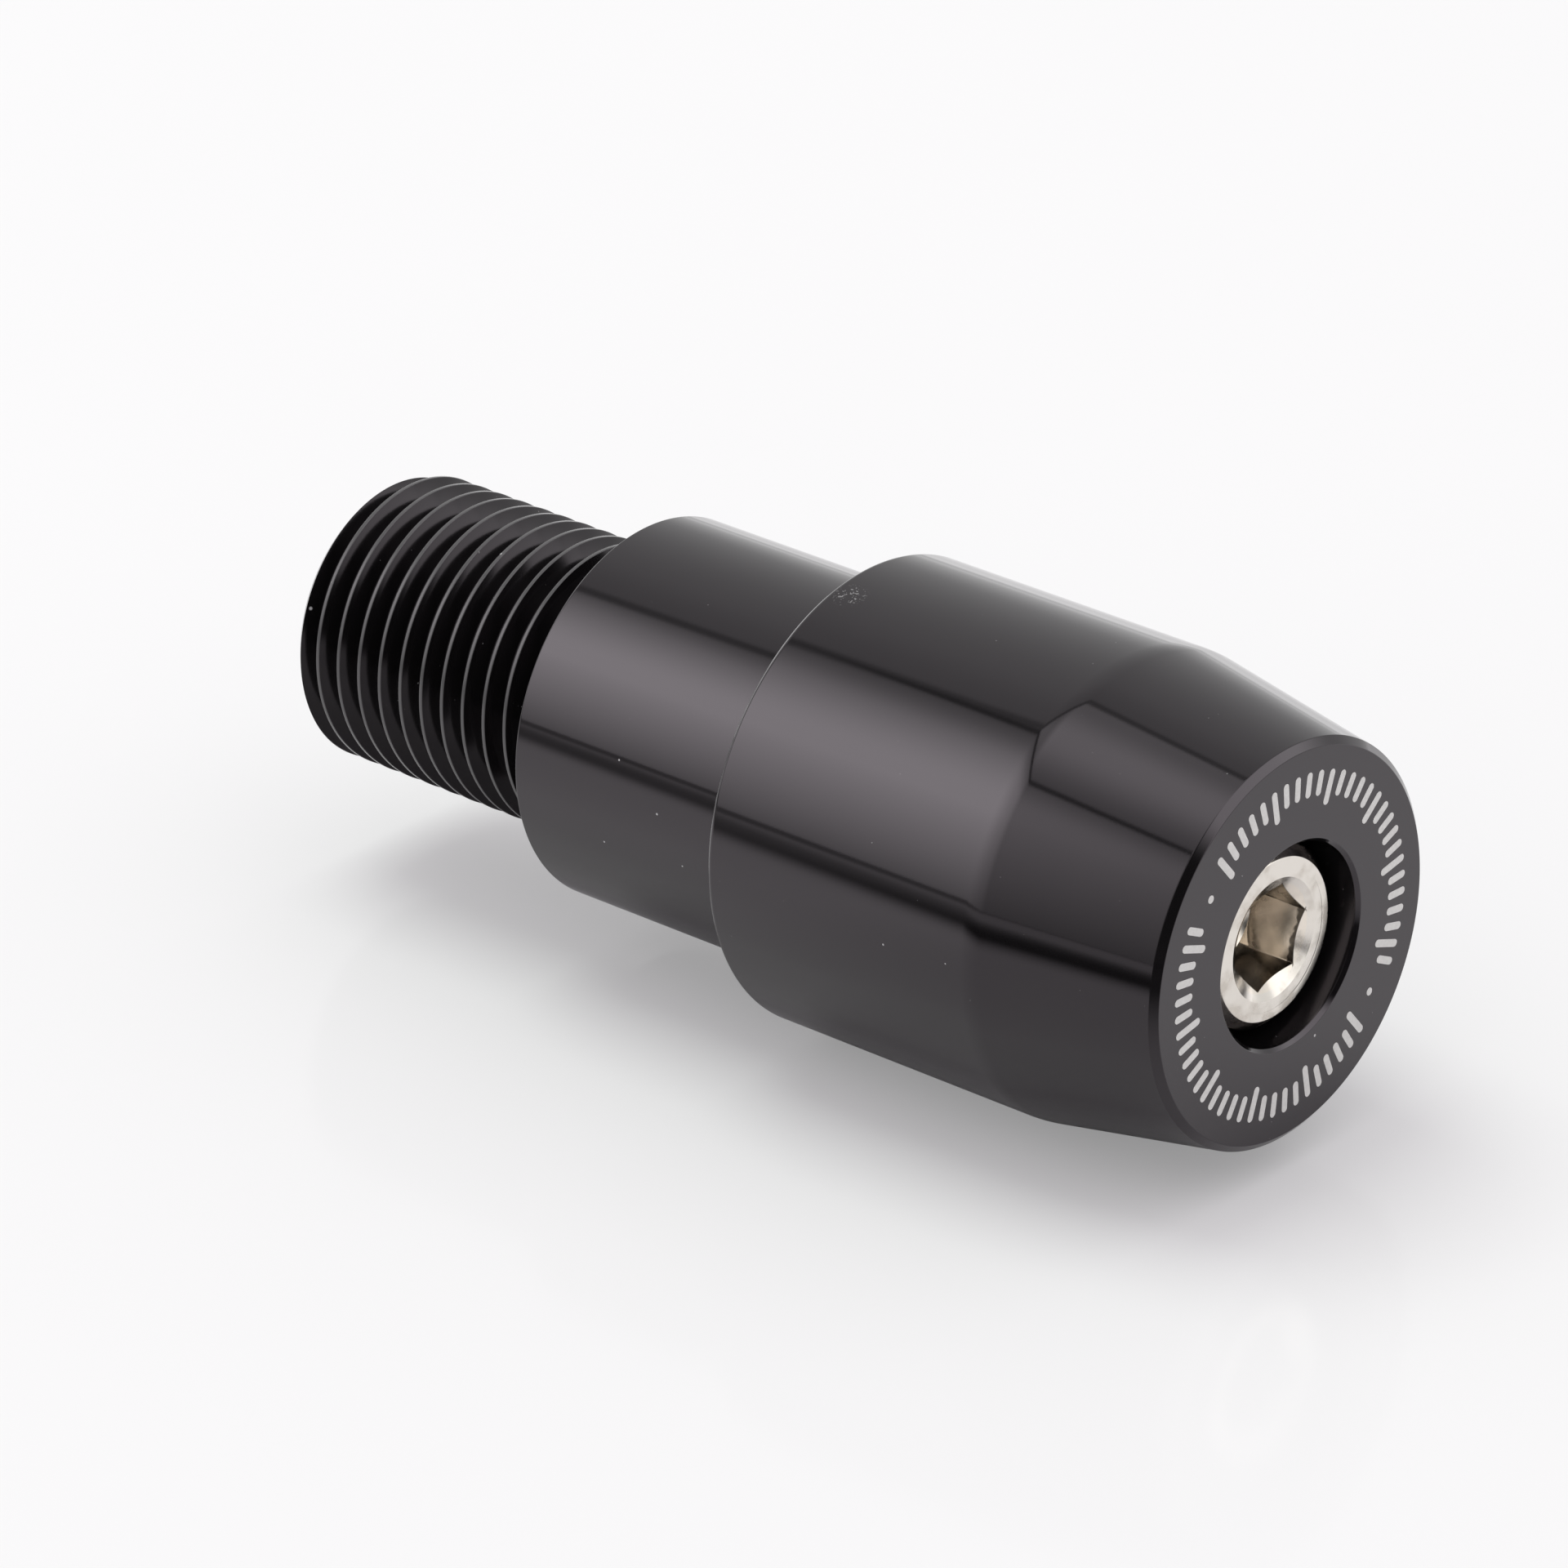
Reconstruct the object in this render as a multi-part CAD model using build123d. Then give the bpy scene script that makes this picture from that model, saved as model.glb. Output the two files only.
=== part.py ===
from build123d import *
import math
import os

# A turned bar end weight for a motorcycle handlebar, standing on its threaded end.
# The turning axis is Z, with the outer end face and the clamp screw's head on top.
# The origin is at the middle of the stud's free end.

# Bar thread, right hand, cut over the whole stud
thread_d = 16.0
thread_pitch = 1.5
thread_angle = 60.0
thread_depth = 0.92
crest_width = 0.19
crest_height = 0.30
stud_length = 19.35
stud_tip_chamfer = 0.55
stud_inner_chamfer = 0.2
stud_seat_depth = 1.0
stud_seat_clearance = 0.1

# Weight: a collar, a wider barrel, and a cone down to the end face
collar_d = 21.0
collar_length = 15.35
collar_edge_r = 0.12
barrel_d = 25.5
barrel_length = 17.5
barrel_edge_r = 0.3
cone_length = 10.2
cone_end_d = 22.0
cone_blend_r = 6.4
rim_drop = 0.35
face_d = 21.2
counterbore_clearance = 0.5
counterbore_break = 0.2
screw_bore_clearance = 0.3

# Clamp screw: hexagon socket head, sunk in the end face
screw_d = 6.0
screw_length = 45.0
screw_tip_chamfer = 0.6
head_d = 10.0
head_height = 6.0
head_recess = 1.1
head_chamfer = 0.6
head_fillet = 0.25
socket_width = 5.0
socket_depth = 3.5
socket_turn = 11.8
socket_mouth_d = 6.65
socket_mouth_angle = 120.0
socket_drill_angle = 120.0
screw_thread_clearance = 0.05
tapped_mouth_chamfer = 0.5

# Heights of the shoulders, from the stud's free end
collar_z = stud_length - stud_seat_depth
barrel_z = collar_z + collar_length
cone_z = barrel_z + barrel_length
rim_z = cone_z + cone_length
face_z = rim_z + rim_drop
head_top_z = face_z - head_recess
seat_z = head_top_z - head_height
screw_tip_z = seat_z - screw_length


def at(radius, height):
    """A point of a half section, in the XZ plane."""
    return (radius, 0, height)


def turned(outline):
    """The solid that a closed half section makes when it is turned round Z."""
    return revolve(make_face(outline), Axis.Z)


def with_round(section, corner, radius):
    """The half section with the corner at that point rounded."""
    return fillet(section.vertices().sort_by_distance(corner)[0], radius)


def threaded_stud():
    """Stud with the bar thread outside and the screw's tapped hole through it."""
    crest_r = thread_d / 2
    root_r = crest_r - thread_depth
    hole_r = screw_d / 2 + screw_thread_clearance
    core = Pos(0, 0, stud_length / 2) * Cylinder(root_r, stud_length + 8 * thread_pitch)
    threaded_bar = core + thread_ridge(crest_r, root_r)
    tip_r = crest_r - stud_tip_chamfer
    inner_r = crest_r - stud_inner_chamfer
    margin = 2 * thread_pitch
    envelope = turned(
        Polyline(
            at(hole_r + tapped_mouth_chamfer, 0),
            at(tip_r, 0),
            at(tip_r + margin, margin),
            at(inner_r + margin, stud_length - margin),
            at(inner_r, stud_length),
            at(hole_r, stud_length),
            at(hole_r, tapped_mouth_chamfer),
            close=True,
        )
    )
    return threaded_bar & envelope


def thread_ridge(crest_r, root_r):
    """The V ridge of the bar thread, wound past both ends of the stud but not of its core."""
    flank = math.tan(math.radians(thread_angle / 2))
    bedding = thread_depth / 4
    crest = crest_width / 2
    foot = crest + (thread_depth + bedding) * flank
    start = crest_height - 2 * thread_pitch
    turns = math.ceil(stud_length / thread_pitch) + 3
    path = Pos(0, 0, start) * Helix(thread_pitch, turns * thread_pitch, crest_r)
    section = make_face(
        Polyline(
            at(root_r - bedding, start - foot),
            at(crest_r, start - crest),
            at(crest_r, start + crest),
            at(root_r - bedding, start + foot),
            close=True,
        )
    )
    return sweep(section, path, is_frenet=True)


def end_weight():
    """Collar, barrel and cone, turned from one bar with the screw's counterbore."""
    stud_seat_r = thread_d / 2 + stud_seat_clearance
    screw_bore_r = screw_d / 2 + screw_bore_clearance
    counterbore_r = head_d / 2 + counterbore_clearance
    section = make_face(
        Polyline(
            at(screw_bore_r, stud_length),
            at(stud_seat_r, stud_length),
            at(stud_seat_r, collar_z),
            at(collar_d / 2, collar_z),
            at(collar_d / 2, barrel_z),
            at(barrel_d / 2, barrel_z),
            at(barrel_d / 2, cone_z),
            at(cone_end_d / 2, rim_z),
            at(face_d / 2, face_z),
            at(counterbore_r + counterbore_break, face_z),
            at(counterbore_r, face_z - counterbore_break),
            at(counterbore_r, seat_z),
            at(screw_bore_r, seat_z),
            close=True,
        )
    )
    section = with_round(section, at(collar_d / 2, collar_z), collar_edge_r)
    section = with_round(section, at(barrel_d / 2, barrel_z), barrel_edge_r)
    section = with_round(section, at(barrel_d / 2, cone_z), cone_blend_r)
    return revolve(section, Axis.Z)


def cap_screw():
    """Socket head screw that clamps the weight to the stud."""
    section = make_face(
        Polyline(
            at(0, screw_tip_z),
            at(screw_d / 2 - screw_tip_chamfer, screw_tip_z),
            at(screw_d / 2, screw_tip_z + screw_tip_chamfer),
            at(screw_d / 2, seat_z),
            at(head_d / 2, seat_z),
            at(head_d / 2, head_top_z - head_chamfer),
            at(head_d / 2 - head_chamfer, head_top_z),
            at(0, head_top_z),
            close=True,
        )
    )
    section = with_round(section, at(screw_d / 2, seat_z), head_fillet)
    return revolve(section, Axis.Z) - hex_socket()


def hex_socket():
    """Hexagon with a countersunk mouth and the cone that its drill leaves."""
    across = RegularPolygon(socket_width / 2, 6, major_radius=False, rotation=socket_turn)
    hexagon = Pos(0, 0, head_top_z - socket_depth) * extrude(across, socket_depth)
    mouth_r = socket_mouth_d / 2
    mouth_depth = mouth_r / math.tan(math.radians(socket_mouth_angle / 2))
    mouth = Pos(0, 0, head_top_z - mouth_depth / 2) * Cone(0, mouth_r, mouth_depth)
    drill_r = socket_width / 2
    drill_depth = drill_r / math.tan(math.radians(socket_drill_angle / 2))
    drill = Pos(0, 0, head_top_z - socket_depth - drill_depth / 2) * Cone(0, drill_r, drill_depth)
    return hexagon + mouth + drill


os.makedirs("parts", exist_ok=True)
export_step(threaded_stud(), "parts/threaded_stud.step")
export_step(end_weight(), "parts/end_weight.step")
export_step(cap_screw(), "parts/cap_screw.step")
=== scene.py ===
import math

import bmesh
import bpy
from mathutils import Matrix, Vector


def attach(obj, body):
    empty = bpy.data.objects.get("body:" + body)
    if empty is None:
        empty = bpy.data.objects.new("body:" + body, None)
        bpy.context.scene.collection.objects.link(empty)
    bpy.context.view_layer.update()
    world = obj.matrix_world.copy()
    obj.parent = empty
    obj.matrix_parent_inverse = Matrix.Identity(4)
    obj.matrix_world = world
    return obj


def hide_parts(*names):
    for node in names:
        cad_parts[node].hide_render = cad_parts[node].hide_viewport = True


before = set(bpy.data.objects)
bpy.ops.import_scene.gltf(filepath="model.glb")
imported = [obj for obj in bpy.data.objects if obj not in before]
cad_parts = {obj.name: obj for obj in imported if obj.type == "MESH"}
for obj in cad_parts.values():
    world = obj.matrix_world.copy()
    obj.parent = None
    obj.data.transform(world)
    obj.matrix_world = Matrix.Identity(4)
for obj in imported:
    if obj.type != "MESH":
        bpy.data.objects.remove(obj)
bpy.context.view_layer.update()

# Lengths are in millimetres in this script, and become metres in the meshes. Node trees turn
# places in metres back into millimetres.
MM = 0.001
MM_PER_METRE = (1000.0, 1000.0, 1000.0)

# The sizes of the CAD part
THREAD_R, THREAD_PITCH, THREAD_DEPTH, THREAD_ANGLE = 8.0, 1.5, 0.92, 60.0
CREST_WIDTH, CREST_HEIGHT = 0.19, 0.30
STUD_LENGTH, STUD_TIP_CHAMFER, STUD_INNER_CHAMFER = 19.35, 0.55, 0.2
STUD_SEAT_R, STUD_SEAT_DEPTH = 8.1, 1.0
STUD_BORE_R, STUD_BORE_CHAMFER = 3.05, 0.5
COLLAR_R, BARREL_R, CONE_END_R, FACE_R = 10.5, 12.75, 11.0, 10.6
COLLAR_LENGTH, BARREL_LENGTH, CONE_LENGTH, RIM_DROP = 15.35, 17.5, 10.2, 0.35
COLLAR_EDGE_R, BARREL_EDGE_R, CONE_BLEND_R = 0.12, 0.3, 6.4
COUNTERBORE_R, COUNTERBORE_BREAK, BORE_R = 5.5, 0.2, 3.3
SCREW_R, SCREW_LENGTH, SCREW_TIP_CHAMFER = 3.0, 45.0, 0.6
HEAD_R, HEAD_HEIGHT, HEAD_RECESS, HEAD_CHAMFER = 5.0, 6.0, 1.1, 0.6
HEX_R, HEX_TURN, SOCKET_DEPTH, MOUTH_R, SOCKET_ANGLE = 2.5, 11.8, 3.5, 3.325, 30.0

# Heights above the stud's free end
COLLAR_Z = STUD_LENGTH - STUD_SEAT_DEPTH
BARREL_Z = COLLAR_Z + COLLAR_LENGTH
CONE_Z = BARREL_Z + BARREL_LENGTH
RIM_Z = CONE_Z + CONE_LENGTH
FACE_Z = RIM_Z + RIM_DROP
HEAD_TOP_Z = FACE_Z - HEAD_RECESS
HEAD_SEAT_Z = HEAD_TOP_Z - HEAD_HEIGHT
SCREW_TIP_Z = HEAD_SEAT_Z - SCREW_LENGTH


def polar(radius, angle, z):
    """The point at that radius, angle and height, in metres."""
    return Vector((radius * math.cos(angle), radius * math.sin(angle), z)) * MM


# Outlines

ARC_STEPS_PER_MM = 2.5


def corner_arc(before, corner, after, radius, steps, guard):
    """Points that round one corner of an outline, with a guard point on each side of the arc."""
    corner = Vector(corner)
    back, on = Vector(before) - corner, Vector(after) - corner
    room = 0.5 * min(back.length, on.length)
    back.normalize()
    on.normalize()
    half = 0.5 * back.angle(on)
    tangent = radius / math.tan(half)
    centre = corner + (back + on).normalized() * (radius / math.sin(half))
    start, end = corner + back * tangent - centre, corner + on * tangent - centre
    sweep = math.pi - 2 * half
    turn = 1 if start.x * end.y - start.y * end.x > 0 else -1
    points = []
    for i in range(steps + 1):
        a = turn * sweep * i / steps
        x = start.x * math.cos(a) - start.y * math.sin(a)
        y = start.x * math.sin(a) + start.y * math.cos(a)
        points.append(centre + Vector((x, y)))
    if tangent + guard < room:
        points.insert(0, corner + back * (tangent + guard))
        points.append(corner + on * (tangent + guard))
    return points


def rounded(outline, closed=True, steps=6, guard=0.04):
    """Points of an outline of (x, y, rounding) corners."""
    points = []
    for i, (x, y, radius) in enumerate(outline):
        end = not closed and i in (0, len(outline) - 1)
        if radius == 0 or end:
            points.append(Vector((x, y)))
            continue
        before, after = outline[i - 1][:2], outline[(i + 1) % len(outline)][:2]
        n = max(steps, round(radius * ARC_STEPS_PER_MM))
        points += corner_arc(before, (x, y), after, radius, n, guard)
    return points


# Meshes

# Points closer than this are one, and edges shorter than this are dropped, in metres
MERGE_DISTANCE, SHORTEST_EDGE = 4e-7, 1e-8


class Mesh:
    """Collects faces, then makes one piece of the object."""

    def __init__(self):
        self.points, self.faces = [], []

    def grid(self, columns, twist=0, closed=False):
        """Quads between neighbouring columns of points. twist is how many rows the seam climbs."""
        first = len(self.points)
        rows = len(columns[0])
        for column in columns:
            self.points += column
        for i in range(len(columns)):
            last = i == len(columns) - 1
            here = first + i * rows
            there = first if last else here + rows
            climb = twist if last else 0
            for k in range(rows if closed else rows - 1 - climb):
                k2 = (k + 1) % rows
                self.faces.append((here + k, there + k + climb, there + k2 + climb, here + k2))

    def prism(self, outline, low, high):
        """A flat plate with a polygon outline in the XY plane."""
        first, n = len(self.points), len(outline)
        for z in (low, high):
            self.points += [Vector((x, y, z)) * MM for x, y in outline]
        for i in range(n):
            j = (i + 1) % n
            self.faces.append((first + i, first + j, first + n + j, first + n + i))
        self.faces.append(tuple(first + n + i for i in range(n)))
        self.faces.append(tuple(first + i for i in reversed(range(n))))

    def piece(self, name, material, sharp=35.0, nodes=()):
        """Makes the piece, which stands for the CAD nodes. Edges of over sharp degrees stay sharp."""
        mesh = bpy.data.meshes.new(name)
        mesh.from_pydata([tuple(p) for p in self.points], [], self.faces)
        bm = bmesh.new()
        bm.from_mesh(mesh)
        bmesh.ops.remove_doubles(bm, verts=bm.verts, dist=MERGE_DISTANCE)
        bmesh.ops.dissolve_degenerate(bm, edges=bm.edges, dist=SHORTEST_EDGE)
        bmesh.ops.recalc_face_normals(bm, faces=bm.faces)
        bm.to_mesh(mesh)
        bm.free()
        mesh.shade_smooth()
        mesh.set_sharp_from_angle(angle=math.radians(sharp))
        mesh.materials.append(material)
        obj = bpy.data.objects.new(name, mesh)
        bpy.context.scene.collection.objects.link(obj)
        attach(obj, "root")
        if nodes:
            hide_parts(*nodes)


# Node trees

# The colour sockets of the Mix node, which share their names with its other sockets
MIX_A, MIX_B, MIX_RESULT = 6, 7, 2


class Tree:
    """Short calls for building a node tree."""

    def __init__(self, tree):
        self.tree = tree
        tree.nodes.clear()

    def node(self, kind, inputs=None, **settings):
        node = self.tree.nodes.new("ShaderNode" + kind)
        for key, value in settings.items():
            setattr(node, key, value)
        for key, value in (inputs or {}).items():
            self.put(node.inputs[key], value)
        return node

    def put(self, socket, value):
        if isinstance(value, bpy.types.NodeSocket):
            self.tree.links.new(value, socket)
        else:
            socket.default_value = value

    def math(self, operation, *values, clamp=False):
        node = self.node("Math", operation=operation, use_clamp=clamp)
        for socket, value in zip(node.inputs, values):
            self.put(socket, value)
        return node.outputs[0]

    def times(self, *values):
        """The product of two or more values."""
        product = values[0]
        for value in values[1:]:
            product = self.math("MULTIPLY", product, value)
        return product

    def vector(self, operation, *values, out=0):
        """A vector operation. Its number, such as a length, is output 1."""
        node = self.node("VectorMath", operation=operation)
        for socket, value in zip(node.inputs, values):
            self.put(socket, value)
        return node.outputs[out]

    def ramp(self, value, low, high, to_low=0.0, to_high=1.0):
        """A smooth step of value from low to high."""
        node = self.node("MapRange", interpolation_type="SMOOTHSTEP")
        for key, number in zip(
            ("Value", "From Min", "From Max", "To Min", "To Max"), (value, low, high, to_low, to_high)
        ):
            self.put(node.inputs[key], number)
        return node.outputs["Result"]

    def noise(self, vector, scale, detail=2.0, roughness=0.5):
        node = self.node(
            "TexNoise", {"Vector": vector, "Scale": scale, "Detail": detail, "Roughness": roughness}
        )
        return node.outputs["Fac"]

    def mix(self, amount, a, b):
        node = self.node("Mix", data_type="RGBA")
        self.put(node.inputs["Factor"], amount)
        self.put(node.inputs[MIX_A], a)
        self.put(node.inputs[MIX_B], b)
        return node.outputs[MIX_RESULT]

    def bump(self, height, depth, normal=None):
        """The normal over a relief of that depth in mm."""
        node = self.node("Bump", {"Height": height, "Distance": depth * MM})
        if normal:
            self.put(node.inputs["Normal"], normal)
        return node.outputs["Normal"]

    def place(self):
        """Object position in mm."""
        return self.vector("MULTIPLY", self.node("TexCoord").outputs["Object"], MM_PER_METRE)

    def parts(self, vector):
        """The three numbers of a vector."""
        outputs = self.node("SeparateXYZ", {"Vector": vector}).outputs
        return outputs[0], outputs[1], outputs[2]

    def lathe(self, place):
        """Radius, height, and (radius, height, 0), in which turning marks run round the axis."""
        x, y, height = self.parts(place)
        flat = self.node("CombineXYZ", {"X": x, "Y": y}).outputs[0]
        radius = self.vector("LENGTH", flat, out=1)
        turned = self.node("CombineXYZ", {"X": radius, "Y": height}).outputs[0]
        return radius, height, turned

    def seen_by_gloss(self):
        """1 for reflected and refracted rays."""
        ray = self.node("LightPath").outputs
        return self.math("MAXIMUM", ray["Is Glossy Ray"], ray["Is Transmission Ray"])

    def seen_by_camera(self):
        return self.node("LightPath").outputs["Is Camera Ray"]

    def principled(self, **inputs):
        """The output of a Principled shader, whose inputs are named with an underscore for each space."""
        return self.node("BsdfPrincipled", {k.replace("_", " "): v for k, v in inputs.items()}).outputs[0]

    def mix_shaders(self, amount, a, b):
        return self.node("MixShader", {0: amount, 1: a, 2: b}).outputs[0]

    def finish(self, shader, kind="OutputMaterial"):
        self.tree.links.new(shader, self.node(kind).inputs["Surface"])


def grey(value, tint=(1.0, 1.0, 1.0)):
    """A colour of that grey level, with a tint."""
    return (value * tint[0], value * tint[1], value * tint[2], 1.0)


def new_material(name):
    material = bpy.data.materials.new(name)
    material.use_nodes = True
    return material, Tree(material.node_tree)


# Black anodised aluminium

# Tints of the dyed skin, from its dark to its light clouds, and of its mirror light
SKIN_DARK_TINT, SKIN_LIGHT_TINT = (1.0, 0.93, 0.99), (1.04, 0.94, 1.02)
SHINE_TINT = (1.0, 0.90, 0.975)

# The bare metal of specks and worn spots, and the duller wall of the counterbore
BARE_GREY, BARE_ROUGHNESS, BORE_ROUGHNESS = 0.5, 0.4, 0.16

# Bright specks of wear: azimuth in degrees, height, radius of the surface, and their own radius
THREAD_SPECKS = [
    (-21.7, 0.45, 7.6, 0.15),
    (-28.9, 5.52, THREAD_R, 0.12),
    (-46.5, 14.17, THREAD_R, 0.12),
    (-69.6, 10.43, THREAD_R, 0.09),
    (13.3, 2.58, THREAD_R, 0.1),
    (14.9, 7.24, THREAD_R, 0.14),
]
WEIGHT_SPECKS = [
    (-14.9, 25.4, COLLAR_R, 0.07),
    (-3.4, 28.3, COLLAR_R, 0.08),
    (12.6, 24.4, COLLAR_R, 0.07),
    (10.5, 29.9, COLLAR_R, 0.06),
    (1.8, 45.6, BARREL_R, 0.07),
    (0.6, 49.7, BARREL_R, 0.05),
    (110.1, FACE_Z, 6.26, 0.1),
]

# A scuff behind the barrel's back edge: azimuth, height and radius of the surface, then its own radii
SCUFF = (-77.0, 34.9, BARREL_R)
SCUFF_INNER, SCUFF_OUTER = 0.3, 1.1

# A pale line along the barrel's back edge: how far its middle lies inside the corner, and its radii
EDGE_INSET, EDGE_INNER, EDGE_OUTER = 0.09, 0.03, 0.13

# Depth below the thread's full radius at which the painted highlight on its crest fades in, and is full
CREST_HIGHLIGHT_FADE, CREST_HIGHLIGHT_FULL = 0.045, 0.01


def distance_to(tree, place, azimuth, z, radius):
    """Distance in mm from a point at an azimuth in degrees, a height and a radius."""
    centre = polar(radius, math.radians(azimuth), z) / MM
    return tree.vector("DISTANCE", place, tuple(centre), out=1)


def wear(tree, place, turned, cloud, specks):
    """How pale the skin turns: fine dust, the scuff, the specks, and a line along the barrel's back edge.
    """
    dust = tree.ramp(tree.noise(place, 4.3, detail=1.0), 0.81, 0.84, 0.0, 0.35)
    dots = tree.ramp(tree.noise(place, 7.0, detail=1.0), 0.60, 0.64)
    near_scuff = tree.ramp(distance_to(tree, place, *SCUFF), SCUFF_INNER, SCUFF_OUTER, 0.5, 0.0)
    bare = tree.math("MAXIMUM", dust, tree.times(dots, near_scuff))
    for azimuth, z, radius, size in specks:
        away = distance_to(tree, place, azimuth, z, radius)
        bare = tree.math("MAXIMUM", bare, tree.ramp(away, size * 0.5, size, 1.0, 0.0))
    edge = (BARREL_R - EDGE_INSET, BARREL_Z + EDGE_INSET, 0.0)
    on_edge = tree.ramp(tree.vector("DISTANCE", turned, edge, out=1), EDGE_INNER, EDGE_OUTER, 1.0, 0.0)
    return tree.math("MAXIMUM", bare, tree.times(on_edge, tree.ramp(cloud, 0.42, 0.58, 0.1, 0.6)))


def anodised(name, base, rough, grain, turning, specks, shine, crest):
    """Dyed anodised aluminium: a glossy black skin with a fine grain, turning marks and wear.

    base, shine and crest are the grey levels of the skin, of its mirror light and of the painted
    highlight on the thread's crests. grain and turning are the depths of the grain and of the turning marks
    in mm.
    """
    material, tree = new_material(name)
    place = tree.place()
    radius, height, turned = tree.lathe(place)
    cloud = tree.noise(place, 0.35, detail=3.0)
    fine = tree.noise(place, 14.0, detail=2.0)
    marks = tree.noise(turned, 9.0, detail=3.0, roughness=0.7)
    bare = wear(tree, place, turned, cloud, specks)
    crest_highlight = tree.times(
        tree.ramp(radius, THREAD_R - CREST_HIGHLIGHT_FADE, THREAD_R - CREST_HIGHLIGHT_FULL),
        tree.ramp(height, COLLAR_Z - 0.1, COLLAR_Z, 1.0, 0.0),
    )
    colour = tree.mix(cloud, grey(base * 0.8, SKIN_DARK_TINT), grey(base * 1.2, SKIN_LIGHT_TINT))
    # painted highlight: the thread's crests are painted paler, standing in for the shine of the crest lines
    colour = tree.mix(crest_highlight, colour, tree.mix(cloud, grey(crest * 0.8), grey(crest * 1.2)))
    colour = tree.mix(bare, colour, grey(BARE_GREY))
    roughness = tree.math("ADD", rough, tree.times(fine, rough * 0.5))
    roughness = tree.math("ADD", roughness, tree.times(bare, BARE_ROUGHNESS), clamp=True)
    bore = tree.ramp(radius, COUNTERBORE_R - 0.03, COUNTERBORE_R + 0.06, BORE_ROUGHNESS, 0.0)
    roughness = tree.math("MAXIMUM", roughness, bore)
    shader = tree.principled(
        Base_Color=colour,
        Metallic=0.0,
        Roughness=roughness,
        IOR=1.5,
        Specular_Tint=grey(shine, SHINE_TINT),
        Normal=tree.bump(marks, turning, tree.bump(fine, grain)),
    )
    tree.finish(shader)
    return material


# Stainless steel of the screw

STEEL_CLEAN, STEEL_STAINED = grey(0.61, (1.0, 0.945, 0.875)), grey(0.5, (1.0, 0.925, 0.83))
SOIL_LIGHT, SOIL_DARK = grey(0.64, (1.0, 0.92, 0.82)), grey(0.5, (1.0, 0.92, 0.82))
# painted shade: one wall of the socket is painted dark, as if it lay in shade
SHADED_WALL_COLOUR, RAGGED_BAND_COLOUR = grey(0.17, (1.0, 0.9, 0.78)), grey(0.12, (1.0, 0.9, 0.8))
SHADED_WALL, BANDED_WALL = 3, 2
# a dark ragged band near the top of another wall of the socket: the height where it begins, and how far it
# fades in
BAND_HEIGHT, BAND_FADE = HEAD_TOP_Z - 1.0, 0.15
SCRIBED_RING_R, SCRIBED_HALF_WIDTH, SCRIBED_DEPTH = 3.95, 0.06, 0.004

# The socket's soil fades out between these radii
SOIL_INNER_R, SOIL_OUTER_R = 2.92, 2.98


def socket_wall(tree, place, in_socket, corner):
    """1 on one wall of the socket, the one that follows that corner of the hexagon."""
    azimuth = math.radians(HEX_TURN + 60 * corner + 30)
    out = tree.vector("DOT_PRODUCT", place, (math.cos(azimuth), math.sin(azimuth), 0.0), out=1)
    on = tree.ramp(tree.math("ABSOLUTE", tree.math("SUBTRACT", out, HEX_R)), 0.02, 0.04, 1.0, 0.0)
    return tree.times(on, in_socket)


def stainless(name):
    """Bright stainless steel: turning marks, a scribed ring, faint stains, a soiled socket, painted shade
    on one socket wall and a dark ragged band on another.
    """
    material, tree = new_material(name)
    place = tree.place()
    radius, height, turned = tree.lathe(place)
    marks = tree.noise(turned, 6.0, detail=4.0, roughness=0.75)
    stain = tree.ramp(tree.noise(place, 0.9, detail=4.0), 0.45, 0.75)
    in_socket = tree.ramp(radius, SOIL_INNER_R, SOIL_OUTER_R, 1.0, 0.0)
    ragged = tree.math("ADD", height, tree.times(tree.noise(place, 2.5, detail=4.0), -0.5))
    dark_band = tree.times(
        tree.ramp(ragged, BAND_HEIGHT, BAND_HEIGHT + BAND_FADE),
        socket_wall(tree, place, in_socket, BANDED_WALL),
    )
    colour = tree.mix(stain, STEEL_CLEAN, STEEL_STAINED)
    colour = tree.mix(in_socket, colour, tree.mix(stain, SOIL_LIGHT, SOIL_DARK))
    # painted shade on one wall of the socket
    colour = tree.mix(socket_wall(tree, place, in_socket, SHADED_WALL), colour, SHADED_WALL_COLOUR)
    # a dark band with a ragged lower edge near the top of that wall
    colour = tree.mix(dark_band, colour, RAGGED_BAND_COLOUR)
    off_ring = tree.math("ABSOLUTE", tree.math("SUBTRACT", radius, SCRIBED_RING_R))
    normal = tree.bump(tree.ramp(off_ring, 0.0, SCRIBED_HALF_WIDTH), SCRIBED_DEPTH)
    normal = tree.bump(marks, 0.0012, normal)
    normal = tree.bump(tree.noise(place, 9.0), 0.0012, normal)
    roughness = tree.math("ADD", 0.16, tree.times(stain, 0.16))
    tree.finish(tree.principled(Base_Color=colour, Metallic=1.0, Roughness=roughness, Normal=normal))
    return material


MARK_TINT = (1.0, 0.99, 0.96)


def mark_paint(name):
    """Pale grey of the marks on the end face."""
    material, tree = new_material(name)
    place = tree.place()
    blotch = tree.noise(place, 5.0, detail=4.0)
    colour = tree.mix(blotch, grey(0.62, MARK_TINT), grey(0.80, MARK_TINT))
    normal = tree.bump(tree.noise(place, 20.0), 0.003)
    tree.finish(tree.principled(Base_Color=colour, Roughness=0.45, Normal=normal))
    return material


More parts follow.
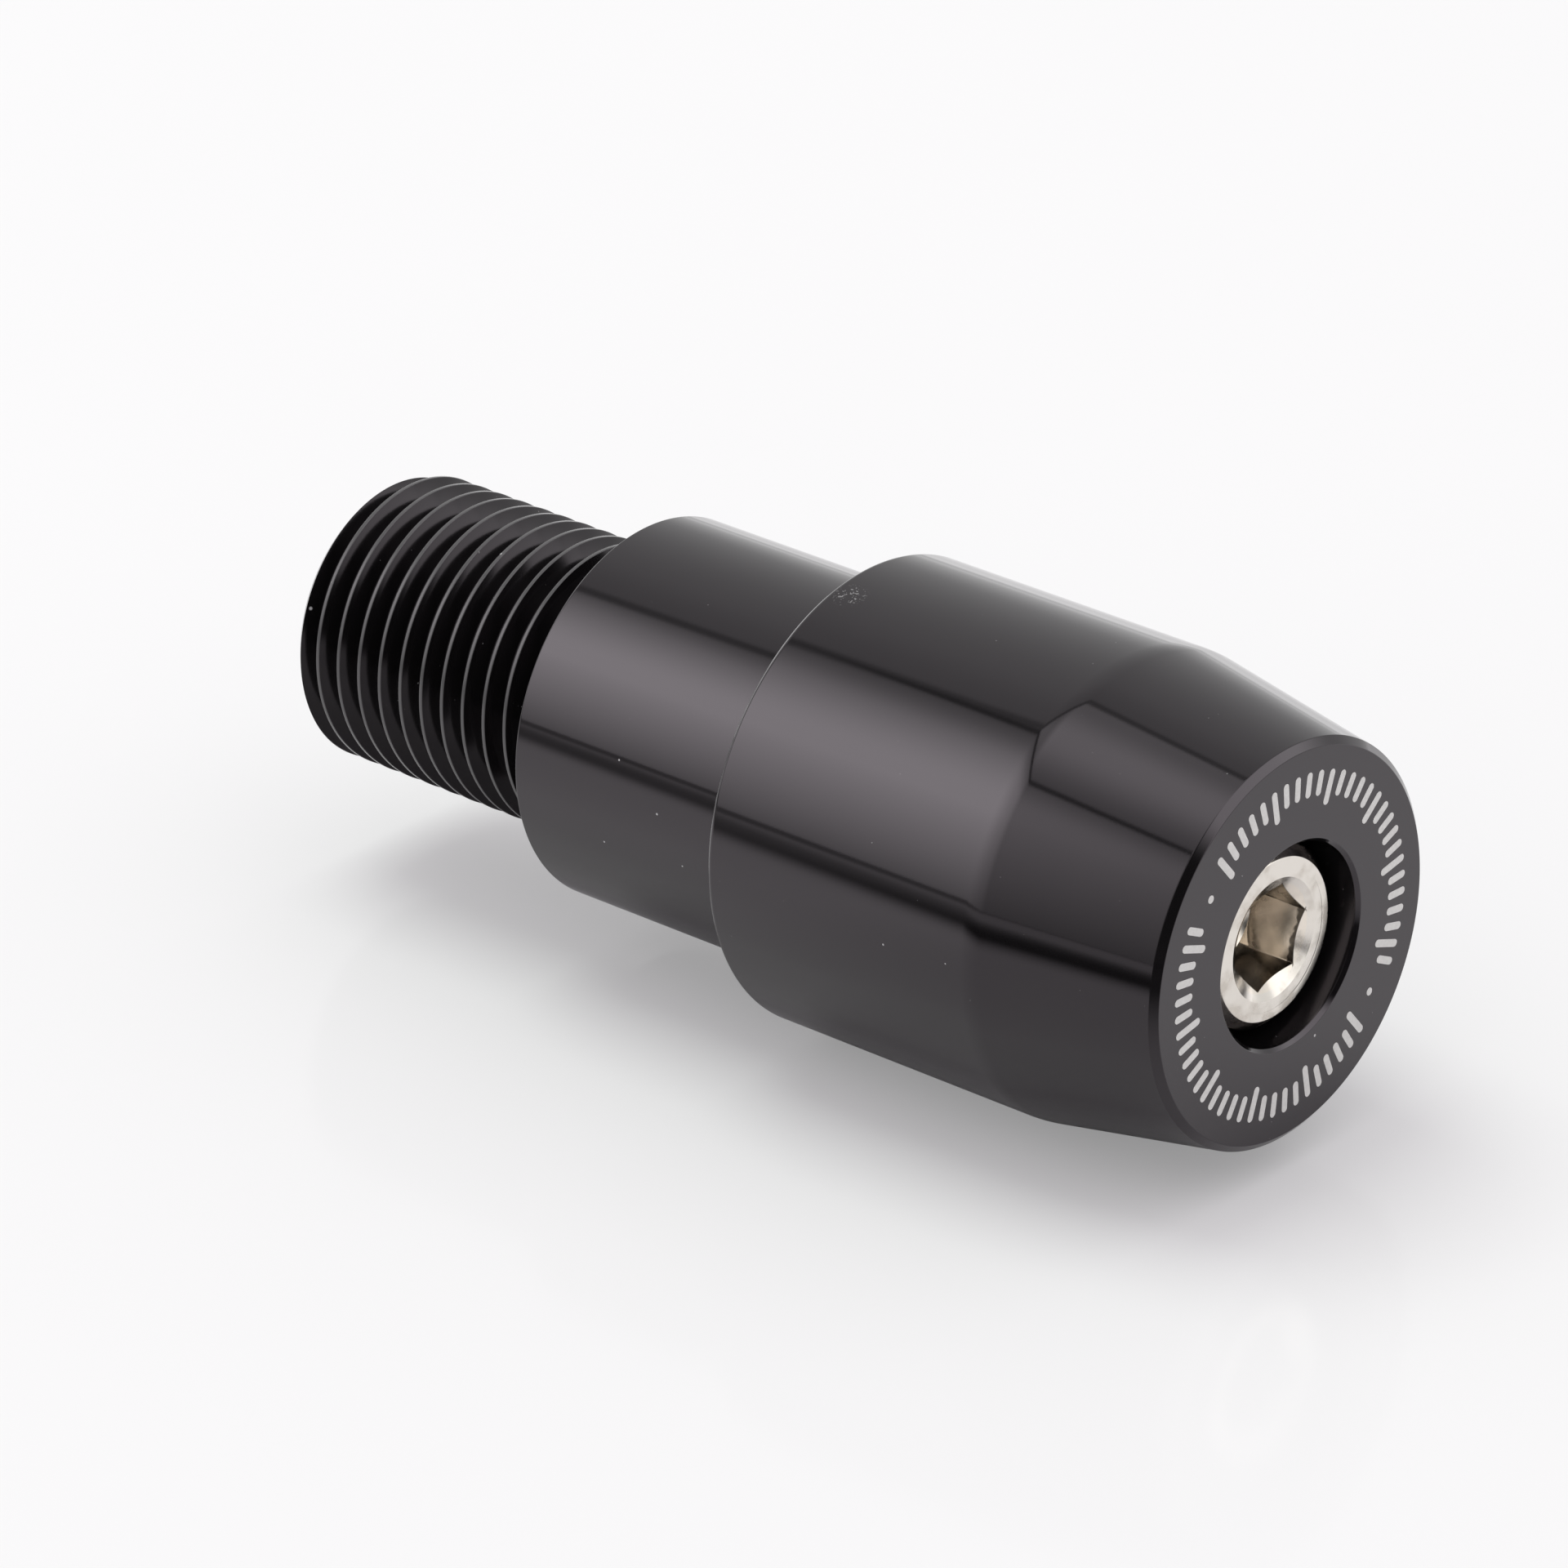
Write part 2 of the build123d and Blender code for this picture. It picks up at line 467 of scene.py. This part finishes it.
black_weight = anodised(
    "anodised_black",
    base=0.0055,
    rough=0.055,
    grain=0.0003,
    turning=0.0002,
    specks=WEIGHT_SPECKS,
    shine=1.0,
    crest=0.0055,
)
black_thread = anodised(
    "anodised_thread",
    base=0.003,
    rough=0.11,
    grain=0.0003,
    turning=0.0,
    specks=THREAD_SPECKS,
    shine=0.6,
    # crest is the grey of the painted highlight on the thread's crests
    crest=0.082,
)
steel = stainless("stainless_steel")
pale = mark_paint("mark_grey")


# The pieces

# Small roundings of edges that the CAD keeps sharp
SEAT_EDGE_R, RIM_EDGE_R, BREAK_EDGE_R = 0.03, 0.08, 0.04
COUNTERBORE_FLOOR_R, BORE_EDGE_R = 0.1, 0.05
ROOT_R, CREST_BACK_R, CREST_FRONT_R = 0.09, 0.06, 0.04
HEAD_RIM_R, HEAD_SIDE_R, HEAD_SEAT_EDGE_R, HEX_CORNER_R = 0.08, 0.2, 0.05, 0.1

WEIGHT_SIDES, STUD_SIDES = 360, 300

# The thread is wound past both ends of the stud, and then cut to its length
TURNS_BELOW, TURNS_BEYOND = 2, 3


def evenly(count):
    """That many angles round the axis."""
    return [2 * math.pi * i / count for i in range(count)]


def make_weight():
    outline = rounded(
        [
            (BORE_R, STUD_LENGTH, 0),
            (STUD_SEAT_R, STUD_LENGTH, 0),
            (STUD_SEAT_R, COLLAR_Z, SEAT_EDGE_R),
            (COLLAR_R, COLLAR_Z, COLLAR_EDGE_R),
            (COLLAR_R, BARREL_Z, 0),
            (BARREL_R, BARREL_Z, BARREL_EDGE_R),
            (BARREL_R, CONE_Z, CONE_BLEND_R),
            (CONE_END_R, RIM_Z, RIM_EDGE_R),
            (FACE_R, FACE_Z, RIM_EDGE_R),
            (COUNTERBORE_R + COUNTERBORE_BREAK, FACE_Z, BREAK_EDGE_R),
            (COUNTERBORE_R, FACE_Z - COUNTERBORE_BREAK, BREAK_EDGE_R),
            (COUNTERBORE_R, HEAD_SEAT_Z, COUNTERBORE_FLOOR_R),
            (BORE_R, HEAD_SEAT_Z, BORE_EDGE_R),
        ]
    )
    mesh = Mesh()
    mesh.grid([[polar(p.x, a, p.y) for p in outline] for a in evenly(WEIGHT_SIDES)], closed=True)
    mesh.piece("turned_weight", black_weight, nodes=["end_weight"])


def thread_profile():
    """One pitch of the thread as (height, radius) points, with its crest in the middle."""
    flank = math.tan(math.radians(THREAD_ANGLE / 2))
    crest, root, half = CREST_WIDTH / 2, THREAD_R - THREAD_DEPTH, THREAD_PITCH / 2
    foot = crest + THREAD_DEPTH * flank
    corners = [
        (-half, root, 0),
        (-foot, root, ROOT_R),
        (-crest, THREAD_R, CREST_BACK_R),
        (crest, THREAD_R, CREST_FRONT_R),
        (foot, root, ROOT_R),
        (half, root, 0),
    ]
    return rounded(corners, closed=False, steps=3, guard=0.03)


def thread_height(angle, turn):
    """Height of the crest's middle. Turn 0 is the lowest one, below the stud's free end."""
    return CREST_HEIGHT + THREAD_PITCH * (angle / (2 * math.pi) + turn - TURNS_BELOW)


def thread_radius(profile, angle, z):
    """Radius of the endless thread at an angle and height."""
    half = THREAD_PITCH / 2
    phase = (z - thread_height(angle, 0) + half) % THREAD_PITCH - half
    for low, high in zip(profile, profile[1:]):
        if phase <= high.x:
            share = (phase - low.x) / (high.x - low.x)
            return low.y + share * (high.y - low.y)
    return profile[-1].y


def stud_limit(z):
    """Radius to which the chamfers at the stud's ends cut the thread."""
    return min(THREAD_R - STUD_TIP_CHAMFER + z, THREAD_R - STUD_INNER_CHAMFER + STUD_LENGTH - z)


def thread_column(profile, angle):
    """The thread's section at one angle, cut to the stud's chamfers and ends."""
    turns = math.ceil(STUD_LENGTH / THREAD_PITCH) + TURNS_BEYOND
    line = []
    for turn in range(turns):
        base = thread_height(angle, turn)
        for p in profile[:-1]:
            line.append([base + p.x, p.y])
    over = [r > stud_limit(z) for z, r in line]
    for k in range(1, len(line) - 1):
        if not over[k]:
            continue
        # the first point past a chamfer moves back to where its edge crosses it
        for other in (k - 1, k + 1):
            if not over[other]:
                (z0, r0), (z1, r1) = line[other], line[k]
                g0, g1 = r0 - stud_limit(z0), r1 - stud_limit(z1)
                share = g0 / (g0 - g1)
                line[k] = [z0 + share * (z1 - z0), r0 + share * (r1 - r0)]
                break
    points = []
    for z, r in line:
        if z <= 0 or z >= STUD_LENGTH:
            z = 0 if z <= 0 else STUD_LENGTH
            r = thread_radius(profile, angle, z)
        points.append(polar(min(r, stud_limit(z)), angle, z))
    return points


def stud_ends(profile, angle):
    """The stud's inner end, tapped hole and free end at one angle."""
    inner = min(thread_radius(profile, angle, STUD_LENGTH), stud_limit(STUD_LENGTH))
    tip = min(thread_radius(profile, angle, 0), stud_limit(0))
    rows = [
        (inner, STUD_LENGTH),
        (STUD_BORE_R, STUD_LENGTH),
        (STUD_BORE_R, STUD_BORE_CHAMFER),
        (STUD_BORE_R + STUD_BORE_CHAMFER, 0),
        (tip, 0),
    ]
    return [polar(r, angle, z) for r, z in rows]


def make_stud():
    profile = thread_profile()
    angles = evenly(STUD_SIDES)
    mesh = Mesh()
    mesh.grid([thread_column(profile, a) for a in angles], twist=len(profile) - 1)
    mesh.grid([stud_ends(profile, a) for a in angles])
    mesh.piece("bar_thread_stud", black_thread, nodes=["threaded_stud"])


def hex_radius(angle):
    """Radius of the socket's wall, whose corners have a small radius."""
    off = (math.degrees(angle) - HEX_TURN + 30) % 60 - 30
    centre = (HEX_R - HEX_CORNER_R) / math.cos(math.radians(30))
    tangent = math.degrees(
        math.atan2(HEX_CORNER_R * 0.5, centre + HEX_CORNER_R * math.cos(math.radians(30)))
    )
    if abs(off) < tangent:
        off = math.radians(off)
        return centre * math.cos(off) + math.sqrt(HEX_CORNER_R**2 - (centre * math.sin(off)) ** 2)
    return HEX_R / math.cos(math.radians(30 - abs(off)))


def make_screw():
    # degrees from a corner of the socket, close together where the corner is rounded
    offsets = [0, 0.35, 0.7, 1.0, 1.4, 2.2] + list(range(4, 31, 2))
    offsets = [-d for d in reversed(offsets[1:-1])] + offsets
    angles = [math.radians(HEX_TURN + 60 * k + d) for k in range(6) for d in offsets]
    drop = math.tan(math.radians(SOCKET_ANGLE))
    floor_z = HEAD_TOP_Z - SOCKET_DEPTH
    # guard points near the socket's edges keep the shading of its faces flat. Three of them are
    # distances from an edge, and the mouth's is a share of the mouth's width.
    drill_guard, floor_guard, wall_guard, mouth_share = 0.15, 0.02, 0.03, 0.4
    outside = rounded(
        [
            (MOUTH_R, HEAD_TOP_Z, 0),
            (HEAD_R - HEAD_CHAMFER, HEAD_TOP_Z, HEAD_RIM_R),
            (HEAD_R, HEAD_TOP_Z - HEAD_CHAMFER, HEAD_SIDE_R),
            (HEAD_R, HEAD_SEAT_Z, HEAD_SEAT_EDGE_R),
            (SCREW_R, HEAD_SEAT_Z, 0),
            (SCREW_R, SCREW_TIP_Z + SCREW_TIP_CHAMFER, 0),
            (SCREW_R - SCREW_TIP_CHAMFER, SCREW_TIP_Z, 0),
            (0, SCREW_TIP_Z, 0),
        ],
        closed=False,
    )
    columns = []
    for a in angles:
        r = hex_radius(a)
        mouth = MOUTH_R - r
        edge_z = HEAD_TOP_Z - mouth * drop
        inside = [
            (0, floor_z - HEX_R * drop),
            (HEX_R - drill_guard, floor_z - drill_guard * drop),
            (HEX_R - floor_guard, floor_z),
            (r, floor_z),
            (r, floor_z + wall_guard),
            (r, edge_z - wall_guard),
            (r, edge_z),
            (r + mouth_share * mouth, edge_z + mouth_share * mouth * drop),
        ]
        columns.append([polar(x, a, z) for x, z in inside] + [polar(p.x, a, p.y) for p in outside])
    mesh = Mesh()
    mesh.grid(columns)
    mesh.piece("socket_screw", steel, sharp=24.0, nodes=["cap_screw"])


# The ring of marks: radii of the long and short strokes, and of the dots that part its two halves
LONG_R0, SHORT_R0, STROKE_R1, STROKE_WIDTH = 7.43, 7.95, 9.33, 0.42
DOT_R0, DOT_R1, DOT_WIDTH, DOT_AZIMUTH = 8.11, 8.55, 0.44, -37.5
STROKE_COUNT, STROKE_STEP, FIRST_STROKE, LONG_EVERY = 27, 6, 12, 5
MARK_SINK, MARK_HEIGHT = 0.03, 0.012


def stroke_outline(angle, r0, r1, width):
    """A straight radial stroke with round ends."""
    along = Vector((math.cos(angle), math.sin(angle)))
    across = Vector((-along.y, along.x))
    outline = []
    for end, start in ((r1, -90), (r0, 90)):
        centre = along * (end - math.copysign(width / 2, end - (r0 + r1) / 2))
        for i in range(9):
            t = math.radians(start + 180 * i / 8)
            outline.append(centre + (along * math.cos(t) + across * math.sin(t)) * (width / 2))
    return outline


def make_marks():
    """A plain ring of graduations and two dots on the end face."""
    outlines = []
    for half in (0, math.pi):
        dot = math.radians(DOT_AZIMUTH) + half
        outlines.append(stroke_outline(dot, DOT_R0, DOT_R1, DOT_WIDTH))
        for i in range(STROKE_COUNT):
            r0 = LONG_R0 if i % LONG_EVERY == 1 else SHORT_R0
            angle = dot + math.radians(FIRST_STROKE + STROKE_STEP * i)
            outlines.append(stroke_outline(angle, r0, STROKE_R1, STROKE_WIDTH))
    mesh = Mesh()
    for outline in outlines:
        mesh.prism(outline, FACE_Z - MARK_SINK, FACE_Z + MARK_HEIGHT)
    mesh.piece("face_marks", pale)


make_weight()
make_stud()
make_screw()
make_marks()


# Floor, which is staged

BACKGROUND = (0.955, 0.953, 0.957, 1.0)
FLOOR_DARK, FLOOR_LIGHT = grey(0.88), grey(0.892)
FLOOR_HALF = 2000.0
FLOOR_ROUGHNESS, FLOOR_IOR, FLOOR_SHINE = 0.12, 1.25, 0.35

# The share of the background's white in what the camera sees of the floor
FLOOR_LIFT = 0.28


def floor_front(tree, x, z):
    """Distance from the part towards the camera, across a line that is a little askew."""
    return tree.math("ADD", x, tree.times(tree.math("SUBTRACT", z, 35.0), 0.2))


def floor_unlit(tree, x, z):
    """How dark gloss sees the floor: on the camera's side, past the end face, and far behind."""
    front = floor_front(tree, x, z)
    camera_side = tree.times(
        tree.ramp(front, 53.0, 86.0),
        tree.ramp(front, 90.0, 240.0, 1.0, 0.2),
        tree.ramp(z, -50.0, 20.0, 0.68, 0.98),
    )
    end = tree.times(tree.ramp(z, 62.0, 105.0), tree.ramp(x, 4.0, 26.0, 0.0, 0.95))
    back = tree.ramp(z, -260.0, -130.0, 0.65, 0.0)
    return tree.math("MAXIMUM", camera_side, tree.math("MAXIMUM", end, back))


def floor_bright(tree, x, z):
    """Light that gloss sees in the floor: far beyond the part, past its end, and close to the stud."""
    far = tree.math("ADD", tree.ramp(x, -260.0, -10.0, 0.62, 0.0), tree.ramp(x, -700.0, -200.0, 0.35, 0.0))
    beyond = tree.times(tree.ramp(z, 56.0, 70.0, 0.0, 0.24), tree.ramp(x, 2.0, 16.0, 1.0, 0.0))
    near = tree.times(
        tree.ramp(x, 8.0, 24.0),
        tree.ramp(floor_front(tree, x, z), 45.0, 70.0, 0.3, 0.0),
        tree.ramp(z, 15.0, 44.0, 1.0, 0.0),
    )
    return tree.math("MAXIMUM", far, tree.math("MAXIMUM", beyond, near))


def make_floor():
    """The pale table under the part, which lies on it. It can't be seen from below."""
    low, high, y = -FLOOR_HALF * MM, FLOOR_HALF * MM, BARREL_R * MM
    mesh = bpy.data.meshes.new("floor")
    mesh.from_pydata([(low, y, low), (high, y, low), (high, y, high), (low, y, high)], [], [(0, 1, 2, 3)])
    floor = bpy.data.objects.new("floor", mesh)
    bpy.context.scene.collection.objects.link(floor)
    material, tree = new_material("floor_white")
    place = tree.place()
    x, _, z = tree.parts(place)
    gloss = tree.seen_by_gloss()
    colour = tree.mix(tree.noise(place, 0.03), FLOOR_DARK, FLOOR_LIGHT)
    colour = tree.mix(tree.times(floor_unlit(tree, x, z), gloss), colour, grey(0.0))
    table = tree.principled(
        Base_Color=colour,
        Roughness=FLOOR_ROUGHNESS,
        IOR=FLOOR_IOR,
        Specular_IOR_Level=tree.times(tree.math("SUBTRACT", 1.0, gloss), FLOOR_SHINE),
    )
    bright = tree.times(floor_bright(tree, x, z), gloss)
    glow = tree.node("Emission", {"Color": grey(1.0), "Strength": bright}).outputs[0]
    lit = tree.node("AddShader", {0: table, 1: glow}).outputs[0]
    white = tree.node("Emission", {"Color": BACKGROUND, "Strength": 1.0}).outputs[0]
    lifted = tree.mix_shaders(tree.times(tree.seen_by_camera(), FLOOR_LIFT), lit, white)
    clear = tree.node("BsdfTransparent").outputs[0]
    from_below = tree.node("NewGeometry").outputs["Backfacing"]
    tree.finish(tree.mix_shaders(from_below, lifted, clear))
    mesh.materials.append(material)


# Light

# Gloss sees a light room, a panel overhead and a bigger panel on the thread's side, with dark
# gaps between them along two planes. Each plane is given by its normal in the row frame.
ROOM_PLANE, ROOM_PLANE_OFFSET = (1.0, -0.624, 0.877), 0.034
PANEL_PLANE = (1.0, 1.085, -1.43)
ROOM_GAP_GREY, PANEL_GAP_GREY = 0.33, 0.1
EDGE_GLOW, THIRD_GLOW, CAMERA_GREY = 2.6, 2.8, 0.03
PLAIN_TINT = (1.0, 0.96, 1.0)


def room_glow(tree, up, beyond_room):
    """The light room on the far side, brightest at its horizon."""
    level = tree.math("ADD", tree.ramp(up, -0.03, 0.055, 1.3, 0.89), tree.ramp(up, 0.0, 0.3, 0.28, 0.0))
    return tree.times(level, tree.ramp(beyond_room, -0.4, -0.05, 1.0, 0.86))


def overhead_glow(tree, along, swing):
    """The panel overhead."""
    return tree.times(
        tree.ramp(swing, -12.0, 5.0, 1.25, 2.2),
        tree.ramp(swing, 8.0, 32.0, 1.0, 0.42),
        tree.ramp(along, -0.47, -0.36, 0.6, 1.0),
    )


def big_glow(tree, along, swing, beyond_panel):
    """The bigger panel on the thread's side, which falls off towards the camera and the table."""
    fall = tree.node(
        "MapRange", {"Value": swing, "From Min": 48.0, "From Max": 90.0, "To Min": 1.0, "To Max": 0.3}
    )
    return tree.times(
        tree.math("ADD", 1.35, tree.times(tree.ramp(swing, 4.0, 42.0), 2.8)),
        fall.outputs["Result"],
        tree.ramp(along, -0.62, -0.30, 1.0, 0.66),
        tree.ramp(along, -0.36, -0.14, 1.0, 0.2),
        tree.ramp(beyond_panel, 0.0, 0.3, 0.62, 1.0),
    )


def studio_glow(tree, way, side, up, along):
    """Colour that gloss sees in a direction, whose parts are also given one by one."""
    swing = tree.math("MULTIPLY", tree.math("ARCTAN2", side, up), 180 / math.pi)
    beyond_room = tree.vector("DOT_PRODUCT", way, ROOM_PLANE, out=1)
    beyond_room = tree.math("SUBTRACT", beyond_room, ROOM_PLANE_OFFSET)
    beyond_panel = tree.vector("DOT_PRODUCT", way, PANEL_PLANE, out=1)
    panels = tree.mix(
        tree.math("GREATER_THAN", beyond_panel, 0.0),
        overhead_glow(tree, along, swing),
        big_glow(tree, along, swing, beyond_panel),
    )
    glow = tree.mix(tree.math("GREATER_THAN", beyond_room, 0.0), room_glow(tree, up, beyond_room), panels)
    glow = tree.mix(tree.ramp(along, -0.95, -0.78, 0.8, 0.0), glow, grey(EDGE_GLOW))
    off_room_gap = tree.ramp(tree.math("ABSOLUTE", beyond_room), 0.016, 0.042)
    glow = tree.mix(off_room_gap, grey(ROOM_GAP_GREY), glow)
    off_panel_gap = tree.ramp(tree.math("ABSOLUTE", beyond_panel), 0.018, 0.034)
    off_panel_gap = tree.math("MAXIMUM", off_panel_gap, tree.math("LESS_THAN", beyond_room, 0.0))
    glow = tree.mix(off_panel_gap, grey(PANEL_GAP_GREY), glow)
    # a third panel beyond the end face, the dark camera beside it, and the dark end of the table
    past_end = tree.ramp(along, 0.2, 0.5)
    glow = tree.mix(tree.times(past_end, tree.ramp(up, 0.12, 0.55)), glow, grey(THIRD_GLOW))
    glow = tree.mix(tree.times(past_end, tree.ramp(side, -0.08, 0.2)), glow, grey(CAMERA_GREY))
    table_end = tree.times(tree.ramp(along, -0.98, -0.9, 0.65, 0.0), tree.ramp(up, 0.04, 0.2, 1.0, 0.0))
    return tree.mix(table_end, glow, grey(0.0))


def make_world():
    """A white studio. Gloss sees its panels, matt surfaces a plain level, and the camera the background."""
    world = bpy.data.worlds.new("studio")
    bpy.context.scene.world = world
    world.use_nodes = True
    tree = Tree(world.node_tree)
    way = tree.node("TexCoord").outputs["Generated"]
    side, down, along = tree.parts(way)
    up = tree.math("MULTIPLY", down, -1.0)
    glow = studio_glow(tree, way, side, up, along)
    shiny = tree.node("Background", {"Color": glow, "Strength": 1.0}).outputs[0]
    level = tree.ramp(up, 0.0, 1.0, 0.5, 0.95)
    plain = tree.node("Background", {"Color": grey(1.0, PLAIN_TINT), "Strength": level}).outputs[0]
    seen = tree.node("Background", {"Color": BACKGROUND, "Strength": 1.0}).outputs[0]
    lit = tree.mix_shaders(tree.seen_by_gloss(), plain, shiny)
    tree.finish(tree.mix_shaders(tree.seen_by_camera(), lit, seen), kind="OutputWorld")


# The soft lamp above the part, which makes the shadow. Its power is in watts.
KEY_PLACE, KEY_TARGET, KEY_SIZE = (0.0, -1460.0, -500.0), (0.0, 0.0, 35.0), 900.0
KEY_POWER, KEY_COLOUR = 8.3, (0.965, 1.04, 0.965)


def make_lamp():
    data = bpy.data.lights.new("key", "AREA")
    data.shape = "SQUARE"
    data.size = KEY_SIZE * MM
    data.energy = KEY_POWER
    data.color = KEY_COLOUR
    lamp = bpy.data.objects.new("key", data)
    bpy.context.scene.collection.objects.link(lamp)
    lamp.location = Vector(KEY_PLACE) * MM
    lamp.rotation_euler = (Vector(KEY_TARGET) - Vector(KEY_PLACE)).to_track_quat("-Z", "Y").to_euler()
    lamp.visible_camera = False
    lamp.visible_glossy = False


# Camera, fitted to the photo. Its azimuth is measured from X towards Z, and it has no roll.
CAMERA_PLACE = (349.118, -219.463, 331.367)
CAMERA_AZIMUTH, CAMERA_ELEVATION = 40.99936, 25.53837
CAMERA_LENS, CAMERA_SENSOR = 224.147, 36.0
CAMERA_NEAR, CAMERA_FAR = 50.0, 20000.0


def make_camera():
    data = bpy.data.cameras.new("camera")
    data.lens = CAMERA_LENS
    data.sensor_width = CAMERA_SENSOR
    data.clip_start, data.clip_end = CAMERA_NEAR * MM, CAMERA_FAR * MM
    camera = bpy.data.objects.new("camera", data)
    bpy.context.scene.collection.objects.link(camera)
    azimuth, elevation = math.radians(CAMERA_AZIMUTH), math.radians(CAMERA_ELEVATION)
    outward = Vector((math.cos(azimuth), 0.0, math.sin(azimuth)))
    right = Vector((-math.sin(azimuth), 0.0, math.cos(azimuth)))
    up = Vector((0.0, -math.cos(elevation), 0.0)) - outward * math.sin(elevation)
    turn = Matrix((right, up, right.cross(up))).transposed().to_4x4()
    camera.matrix_world = Matrix.Translation(Vector(CAMERA_PLACE) * MM) @ turn
    bpy.context.scene.camera = camera


make_floor()
make_world()
make_lamp()
make_camera()
bpy.context.scene.view_settings.view_transform = "Standard"
